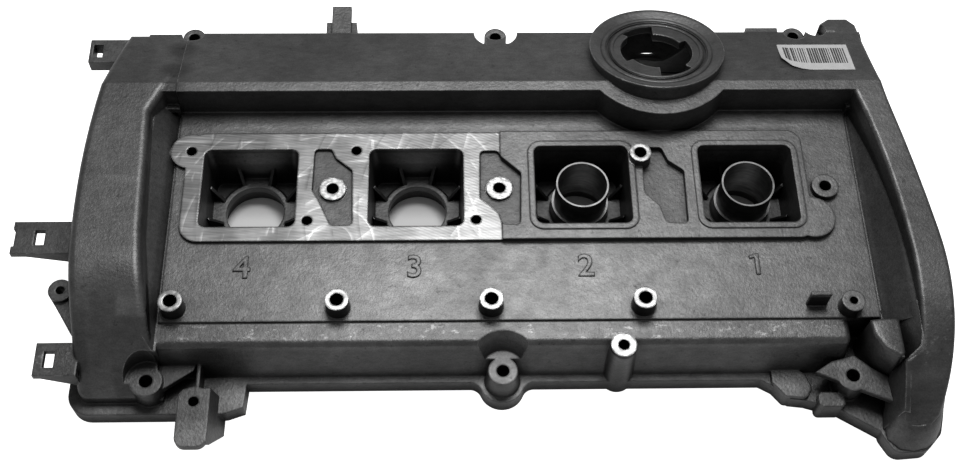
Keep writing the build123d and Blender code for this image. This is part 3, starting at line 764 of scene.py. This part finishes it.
@dataclass(frozen=True)
class FloorFinish:
    """White floor, painted grey as shade under the casting; its glow throws no light on the casting."""

    name: str = "floor"
    tone: float = 0.80
    shade_tone: float = 0.62
    roughness: float = 0.9
    glow: float = 1.0
    shade_middle: tuple[float, float] = (0.0, 9 * MM)
    shade_half: tuple[float, float] = (190 * MM, 89 * MM)
    fade: float = 15 * MM

    def build(self) -> bpy.types.Material:
        """Makes the material.

        Returns:
            The material.
        """
        material = bpy.data.materials.new(self.name)
        graph = Graph(material)
        # Painted shade: the floor is grey and does not glow in a box under the casting.
        shade: object = 1.0
        for value, middle, half in zip(graph.axes(), self.shade_middle, self.shade_half):
            reach = graph.math("ABSOLUTE", graph.math("SUBTRACT", value, middle))
            shade = graph.math("MULTIPLY", shade, graph.spread(reach, half, half + self.fade, 1.0, 0.0))
        tone = graph.grey(graph.mix(shade, self.tone, self.shade_tone))
        graph.join(tone, graph.shader.inputs["Base Color"])
        graph.shader.inputs["Roughness"].default_value = self.roughness
        graph.shader.inputs["Emission Color"].default_value = (1.0, 1.0, 1.0, 1.0)
        seen = graph.add("ShaderNodeLightPath").outputs["Is Camera Ray"]
        glow = graph.math("MULTIPLY", seen, graph.mix(shade, self.glow, 0.0))
        graph.join(glow, graph.shader.inputs["Emission Strength"])
        return material


def finish_mesh(piece: bpy.types.Object, name: str, material: bpy.types.Material) -> None:
    """Bakes a piece's place into its mesh, names it and dresses it.

    Args:
        piece: The piece, a mesh object.
        name: Name of the piece.
        material: Its material.
    """
    bpy.ops.object.select_all(action="DESELECT")
    piece.select_set(True)
    bpy.context.view_layer.objects.active = piece
    bpy.ops.object.transform_apply(location=True, rotation=True, scale=True)
    piece.name = piece.data.name = name
    piece.data.materials.clear()
    piece.data.materials.append(material)
    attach(piece, BODY)


def modify(piece: bpy.types.Object, name: str, kind: str, **settings: object) -> None:
    """Adds a modifier to the active piece and applies it.

    Args:
        piece: The piece.
        name: Name of the modifier.
        kind: Blender's type name of the modifier.
        **settings: Properties of the modifier by name.
    """
    modifier = piece.modifiers.new(name, kind)
    for key, value in settings.items():
        setattr(modifier, key, value)
    bpy.ops.object.modifier_apply(modifier=modifier.name)


def face_outwards() -> None:
    """Turns all faces of the active piece outwards."""
    bpy.ops.object.mode_set(mode="EDIT")
    bpy.ops.mesh.select_all(action="SELECT")
    bpy.ops.mesh.normals_make_consistent(inside=False)
    bpy.ops.object.mode_set(mode="OBJECT")


@dataclass
class CylinderDigits:
    """Raised digits on the deck, one in front of each plug well."""

    pitch: float = 88 * MM
    numbers: tuple[int, ...] = (1, 2, 3, 4)
    size: float = 17.8 * MM
    rise: float = 0.45 * MM
    bevel: float = 0.4 * MM
    sink: float = 0.1 * MM
    row: float = -52.8 * MM
    shift: float = -0.5 * MM
    top_level: float = 0.9
    slope_steps: int = 2
    one_outline: tuple[tuple[float, float], ...] = (
        (1.7, 0.0), (1.7, 12.4), (0.1, 12.4), (-3.8, 10.9), (-3.2, 9.0), (-0.8, 9.9), (-0.8, 0.0),
    )

    def place(self, number: int) -> Vector:
        """Foot of a digit's middle, on the deck.

        Args:
            number: The cylinder's number, counted from the right.

        Returns:
            The place.
        """
        offset = (len(self.numbers) + 1) / 2 - number
        foot = Height.DECK.value * MM - self.sink
        return Vector((offset * self.pitch + self.shift, self.row, foot))

    def one(self) -> bpy.types.Object:
        """The digit 1, an upright stroke with a short flag, drawn from its outline.

        Returns:
            The digit.
        """
        bpy.ops.object.select_all(action="DESELECT")
        bpy.ops.mesh.primitive_circle_add(vertices=len(self.one_outline), fill_type="NGON")
        digit = bpy.context.object
        for vertex, (x, y) in zip(digit.data.vertices, self.one_outline):
            vertex.co = (x * MM, y * MM, 0.0)
        up = (0.0, 0.0, self.rise + self.bevel)
        bpy.ops.object.mode_set(mode="EDIT")
        bpy.ops.mesh.select_all(action="SELECT")
        bpy.ops.mesh.extrude_region_move(TRANSFORM_OT_translate={"value": up})
        bpy.ops.object.mode_set(mode="OBJECT")
        face_outwards()
        modify(digit, "slope", "BEVEL", width=self.bevel, limit_method="ANGLE", segments=self.slope_steps)
        digit.location = self.place(1)
        return digit

    def printed(self, number: int) -> bpy.types.Object:
        """A digit made from a text object.

        Args:
            number: The digit.

        Returns:
            The digit as a mesh.
        """
        bpy.ops.object.select_all(action="DESELECT")
        bpy.ops.object.text_add(location=self.place(number))
        digit = bpy.context.object
        digit.data.body = str(number)
        digit.data.size = self.size
        digit.data.align_x = "CENTER"
        digit.data.extrude = self.rise
        digit.data.bevel_depth = self.bevel
        bpy.ops.object.convert(target="MESH")
        return bpy.context.object

    def build(self, material: bpy.types.Material, dark: bpy.types.Material) -> None:
        """Makes all the digits.

        Args:
            material: The casting's material, on their tops.
            dark: A darker copy of the casting's material for their sides, painted shade that outlines
                them.
        """
        for number in self.numbers:
            digit = self.one() if number == 1 else self.printed(number)
            finish_mesh(digit, f"cylinder_digit_{number}", material)
            digit.data.materials.append(dark)
            # Faces that do not face up take the darker copy, painted shade that outlines each digit.
            for face in digit.data.polygons:
                face.material_index = 0 if face.normal.z > self.top_level else 1
            LOG.info("digit %d made", number)


def ruled_shell(name: str, rows: list[list[Vector]], thickness: float) -> bpy.types.Object:
    """A thin smooth shell through rows of points.

    Args:
        name: Name of the shell.
        rows: Rows of as many points each, in metres.
        thickness: Thickness behind the rows.

    Returns:
        The shell.
    """
    bpy.ops.object.select_all(action="DESELECT")
    across, up = len(rows[0]) - 1, len(rows) - 1
    bpy.ops.mesh.primitive_grid_add(x_subdivisions=across, y_subdivisions=up, size=1.0)
    shell = bpy.context.object
    shell.name = name
    for vertex in shell.data.vertices:
        column, row = round((vertex.co.x + 0.5) * across), round((vertex.co.y + 0.5) * up)
        vertex.co = rows[row][column]
    modify(shell, "wall", "SOLIDIFY", thickness=thickness, offset=-1.0)
    bpy.ops.object.shade_smooth_by_angle(angle=SMOOTH_ANGLE)
    return shell


@dataclass(frozen=True)
class Bead:
    """A ring-shaped bead, in mm: radius of its middle line, half its width and its rise."""

    radius: float
    half_width: float
    rise: float


@dataclass
class FillerBeads:
    """Two raised beads in the dish of the oil filler neck."""

    place: Point = (88.0, 79.5, 55.4)
    tilt: float = REAR_SLOPE_ANGLE
    dish: float = -2.3 * MM
    beads: tuple[Bead, ...] = (Bead(29.4, 1.5, 1.1), Bead(24.75, 1.05, 0.7))
    section: int = 16
    steps: int = 120
    merge: float = 0.001 * MM

    def build(self, material: bpy.types.Material) -> None:
        """Makes the beads.

        Args:
            material: The casting's material.
        """
        for index, ring in enumerate(self.beads, start=1):
            bpy.ops.object.select_all(action="DESELECT")
            bpy.ops.mesh.primitive_circle_add(vertices=self.section, radius=ring.half_width * MM,
                                              rotation=(math.pi / 2, 0.0, 0.0))
            bead = bpy.context.object
            bpy.ops.object.transform_apply(rotation=True)
            bead.scale = (1.0, 1.0, ring.rise / ring.half_width)
            bead.location = (ring.radius * MM, 0.0, self.dish)
            bpy.ops.object.transform_apply(location=True, scale=True)
            bpy.ops.object.mode_set(mode="EDIT")
            bpy.ops.mesh.select_all(action="SELECT")
            bpy.ops.mesh.spin(steps=self.steps, angle=2 * math.pi, center=(0, 0, 0), axis=(0, 0, 1))
            bpy.ops.mesh.select_all(action="SELECT")
            bpy.ops.mesh.remove_doubles(threshold=self.merge)
            bpy.ops.object.mode_set(mode="OBJECT")
            face_outwards()
            bpy.ops.object.shade_smooth()
            bead.rotation_euler = (-math.radians(self.tilt), 0.0, 0.0)
            bead.location = Vector(self.place) * MM
            finish_mesh(bead, f"filler_bead_{index}", material)
            LOG.info("filler bead %d made", index)


@dataclass(frozen=True)
class SkirtPoint:
    """A point of the nose's outline, in mm, with the skirt's fall there.

    It has X and Y, the height of the housing, the reach of the skirt beyond the outline and the
    share of the fall that is even; the rest of it bulges.
    """

    x: float
    y: float
    top: float
    reach: float
    even: float


@dataclass
class RightNose:
    """Blended forms round the nose of the right end housing, over the edges of the plain solid."""

    outline: tuple[SkirtPoint, ...] = (
        SkirtPoint(220.7, -99.0, 46.2, 0.2, 0.0), SkirtPoint(220.4, -105.0, 43.8, 0.8, 0.0),
        SkirtPoint(219.3, -110.0, 41.3, 1.8, 0.0), SkirtPoint(218.4, -114.0, 39.0, 2.6, 0.0),
        SkirtPoint(217.1, -118.0, 36.3, 3.7, 0.05), SkirtPoint(216.0, -122.0, 33.2, 4.8, 0.1),
        SkirtPoint(214.6, -126.0, 29.7, 5.8, 0.2), SkirtPoint(212.2, -129.4, 26.5, 6.3, 0.4),
        SkirtPoint(209.2, -131.6, 25.4, 6.5, 0.55), SkirtPoint(204.6, -132.3, 25.2, 6.6, 0.6),
        SkirtPoint(200.6, -131.8, 25.3, 6.6, 0.55), SkirtPoint(198.2, -129.6, 26.5, 6.3, 0.4),
        SkirtPoint(197.6, -126.0, 29.6, 5.6, 0.2), SkirtPoint(197.6, -122.0, 33.0, 4.6, 0.1),
        SkirtPoint(197.6, -116.0, 37.5, 3.0, 0.0),
    )
    foot: float = 9.8
    inboard: float = 1.6
    tuck: float = 0.5
    bulge: float = 2.2
    steps: int = 9
    slope_edge: tuple[Point, ...] = (
        (206.9, -73.0, 48.3), (206.9, -79.0, 48.9), (206.6, -85.0, 48.6), (206.4, -91.0, 48.0),
        (205.3, -97.2, 46.3), (202.0, -100.2, 45.0), (199.3, -102.4, 43.9), (197.5, -105.2, 42.6),
        (197.4, -112.0, 39.3), (197.4, -118.0, 35.3), (197.6, -125.0, 29.5),
    )
    slope_foot: tuple[Point, ...] = (
        (191.9, -73.0, 35.3), (192.6, -79.0, 35.0), (194.0, -85.0, 33.2), (195.2, -91.0, 31.0),
        (195.6, -97.0, 28.0), (195.3, -100.5, 26.4), (195.0, -103.5, 25.0), (194.5, -107.0, 23.6),
        (193.6, -113.0, 18.0), (192.9, -119.0, 12.5), (192.2, -127.0, 9.9),
    )
    slope_tuck: Point = (2.0, -0.6, 0.0)
    slope_hollow: float = 1.2
    knob: tuple[tuple[float, float], ...] = (
        (182.6, -82.0), (197.4, -80.6), (197.6, -101.0), (194.6, -102.6), (187.8, -97.6), (183.6, -90.0),
    )
    knob_top: float = 44.9
    knob_foot: float = 12.0
    knob_flare: float = 1.12
    knob_round: float = 3.2
    knob_round_steps: int = 5
    shell: float = 0.8 * MM

    def normals(self) -> list[Vector]:
        """Outward directions of the outline at its points.

        Returns:
            One direction for each point.
        """
        places = [Vector((point.x, point.y)) for point in self.outline]
        found = []
        for index in range(len(places)):
            along = places[min(index + 1, len(places) - 1)] - places[max(index - 1, 0)]
            found.append(Vector((-along.y, along.x)).normalized())
        return found

    def skirt(self, material: bpy.types.Material) -> None:
        """Makes the skirt that runs from the nose down to the edge of the flange.

        Args:
            material: The casting's material.
        """
        rows = []
        for step in range(self.steps + 1):
            share = step / self.steps
            row = []
            for point, normal in zip(self.outline, self.normals()):
                reach = -self.inboard + (self.inboard + point.reach) * share
                fall = point.even * share + (1 - point.even) * share ** self.bulge
                height = point.top - (point.top - self.foot) * fall
                height -= self.tuck if step == 0 else 0.0
                place = Vector((point.x + normal.x * reach, point.y + normal.y * reach, height))
                row.append(place * MM)
            rows.append(row)
        skirt = ruled_shell("nose_skirt", rows, self.shell)
        finish_mesh(skirt, "nose_skirt", material)

    def inner_slope(self, material: bpy.types.Material) -> None:
        """Makes the inner slope that runs on beside the nose to the flange.

        Args:
            material: The casting's material.
        """
        rows = [[(Vector(edge) + Vector(self.slope_tuck)) * MM for edge in self.slope_edge]]
        for step in range(self.steps + 1):
            share = step / self.steps
            row = []
            for top, foot in zip(self.slope_edge, self.slope_foot):
                place = Vector(top).lerp(Vector(foot), share)
                place.z = foot[2] + (top[2] - foot[2]) * (1 - share) ** self.slope_hollow
                row.append(place * MM)
            rows.append(row)
        slope = ruled_shell("nose_inner_slope", rows, self.shell)
        finish_mesh(slope, "nose_inner_slope", material)

    def corner_knob(self, material: bpy.types.Material) -> None:
        """Makes the rounded knob between the slope and the bolt plate.

        Args:
            material: The casting's material.
        """
        bpy.ops.object.select_all(action="DESELECT")
        bpy.ops.mesh.primitive_cylinder_add(vertices=len(self.knob), radius=1.0, depth=2.0)
        knob = bpy.context.object
        middle = sum((Vector(place) for place in self.knob), Vector((0.0, 0.0))) / len(self.knob)
        for vertex in knob.data.vertices:
            turn = math.atan2(vertex.co.x, vertex.co.y) / (2 * math.pi)
            place = Vector(self.knob[round(turn * len(self.knob)) % len(self.knob)])
            if vertex.co.z > 0:
                vertex.co = (place.x * MM, place.y * MM, self.knob_top * MM)
            else:
                place = middle + (place - middle) * self.knob_flare
                vertex.co = (place.x * MM, place.y * MM, self.knob_foot * MM)
        modify(knob, "round", "BEVEL", width=self.knob_round * MM, segments=self.knob_round_steps,
               limit_method="ANGLE")
        face_outwards()
        bpy.ops.object.shade_smooth_by_angle(angle=SMOOTH_ANGLE)
        finish_mesh(knob, "corner_knob", material)

    def build(self, material: bpy.types.Material) -> None:
        """Makes the skirt, the slope and the knob.

        Args:
            material: The casting's material.
        """
        self.skirt(material)
        self.inner_slope(material)
        self.corner_knob(material)
        LOG.info("nose forms made")


@dataclass
class PaperLabel:
    """Paper label on the rear slope, torn along its left front edge."""

    corners: tuple[tuple[float, float], ...] = (
        (157.0, 87.3), (196.0, 87.3), (196.0, 64.7), (157.0, 64.7),
    )
    slope_start: float = 55.75
    slope_angle: float = REAR_SLOPE_ANGLE
    cuts: tuple[int, int] = (24, 12)
    thickness: float = 0.12 * MM
    lift: float = 0.06 * MM
    tear: tuple[tuple[float, float], ...] = ((0.0, 0.43), (0.12, 0.13), (0.25, 0.03), (0.38, 0.0))
    curl: float = 1.2 * MM
    curl_power: int = 3

    def height(self, y: float) -> float:
        """Height of the rear slope.

        Args:
            y: Distance behind the plug line, in millimetres.

        Returns:
            The height in metres.
        """
        drop = (y - self.slope_start) * math.tan(math.radians(self.slope_angle))
        return (Height.CREST.value - drop) * MM + self.lift

    def edge(self, across: float) -> float:
        """Lowest share of the label's depth that is left at a place across it.

        Args:
            across: Share of the label's width from its left edge.

        Returns:
            The share of the depth, from the front.
        """
        for (start, high), (end, low) in zip(self.tear, self.tear[1:]):
            if across <= end:
                return high + (low - high) * (across - start) / (end - start)
        return 0.0

    def build(self, material: bpy.types.Material) -> None:
        """Makes the label.

        Args:
            material: The paper's material.
        """
        bpy.ops.object.select_all(action="DESELECT")
        bpy.ops.mesh.primitive_grid_add(x_subdivisions=self.cuts[0], y_subdivisions=self.cuts[1], size=1.0)
        label = bpy.context.object
        rear_left, rear_right, front_right, front_left = self.corners
        for vertex in label.data.vertices:
            across, up = vertex.co.x + 0.5, vertex.co.y + 0.5
            low = self.edge(across)
            depth = low + (1.0 - low) * up
            left = Vector(front_left).lerp(Vector(rear_left), depth)
            right = Vector(front_right).lerp(Vector(rear_right), depth)
            x, y = left.lerp(right, across)
            torn = max(0.0, 1.0 - across / self.tear[-1][0]) * (1.0 - up) ** self.curl_power
            vertex.co = (x * MM, y * MM, self.height(y) + torn * self.curl)
        modify(label, "paper", "SOLIDIFY", thickness=self.thickness, offset=1.0)
        finish_mesh(label, "paper_label", material)
        LOG.info("label made")


@dataclass(frozen=True)
class AreaLight:
    """A soft rectangular light, in metres and watts."""

    name: str
    place: Point
    size: tuple[float, float]
    power: float


@dataclass
class Studio:
    """Pale floor, soft light and the camera at the photograph's angle."""

    floor_size: float = 8.0
    camera_place: Point = (-25.98, -362.9, 627.4)
    pitch: float = 60.51
    yaw: float = -2.627
    roll: float = 1.947
    lens: float = 48.96
    sensor: float = 36.0
    clip_start: float = 0.01
    lights: tuple[AreaLight, ...] = (AreaLight("overhead", (0.04, 0.36, 1.10), (0.50, 0.42), 11.0),)
    world_light: float = 0.36

    def add_floor(self, low: float) -> None:
        """Adds the floor.

        Args:
            low: Height of the object's lowest point.
        """
        bpy.ops.object.select_all(action="DESELECT")
        bpy.ops.mesh.primitive_plane_add(size=self.floor_size, location=(0, 0, low))
        floor = bpy.context.object
        floor.name = "floor"
        floor.data.materials.append(FloorFinish().build())
        floor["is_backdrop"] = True

    def add_lights(self) -> None:
        """Adds the soft lights, each turned to the object, and the even light of the room."""
        for source in self.lights:
            bpy.ops.object.light_add(type="AREA", location=source.place)
            light = bpy.context.object
            light.name = source.name
            light.data.shape = "RECTANGLE"
            light.data.size, light.data.size_y = source.size
            light.data.energy = source.power
            light.rotation_euler = (-Vector(source.place)).to_track_quat("-Z", "Y").to_euler()
        world = bpy.data.worlds.new("room")
        bpy.context.scene.world = world
        world.use_nodes = True
        background = world.node_tree.nodes["Background"]
        background.inputs["Color"].default_value = (1.0, 1.0, 1.0, 1.0)
        background.inputs["Strength"].default_value = self.world_light

    def add_camera(self) -> None:
        """Adds the camera, solved from the photograph, and makes it the scene's own."""
        bpy.ops.object.camera_add()
        camera = bpy.context.object
        camera.data.sensor_width = self.sensor
        camera.data.lens = self.lens
        camera.data.clip_start = self.clip_start
        turn = Matrix.Rotation(math.radians(self.yaw), 4, "Z")
        turn @= Matrix.Rotation(math.radians(90 - self.pitch), 4, "X")
        turn @= Matrix.Rotation(math.radians(self.roll), 4, "Z")
        camera.matrix_world = Matrix.Translation(Vector(self.camera_place) * MM) @ turn
        bpy.context.scene.camera = camera

    def build(self, low: float) -> None:
        """Makes the whole studio.

        Args:
            low: Height of the object's lowest point.
        """
        self.add_floor(low)
        self.add_lights()
        self.add_camera()
        bpy.context.scene.view_settings.view_transform = "Standard"
        LOG.info("studio made")


def dress(node: bpy.types.Object, material: bpy.types.Material) -> None:
    """Gives a CAD node a material in all of its slots.

    Args:
        node: The CAD node's object.
        material: The material.
    """
    for slot in node.material_slots:
        slot.link = "OBJECT"
        slot.material = material
    LOG.info("%s dressed", node.name)


def main() -> None:
    """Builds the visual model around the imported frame."""
    logging.basicConfig(level=logging.INFO, format="%(name)s: %(message)s")
    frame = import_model()
    cad_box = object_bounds()
    cast = CastFinish().build()
    dress(frame["nodes"][CASTING], cast)
    tube = TubeFinish().build()
    for name in TUBES:
        dress(frame["nodes"][name], tube)
    # A darker copy of the cast material, painted shade for the digits' sides.
    painted_shade = CastFinish(name="cast_alloy_soiled", tone=SHADED_SIDE_TONE).build()
    CylinderDigits().build(cast, painted_shade)
    FillerBeads().build(cast)
    RightNose().build(cast)
    PaperLabel().build(PaperFinish().build())
    Studio().build(cad_box[0][2])


if __name__ == "__main__":
    main()
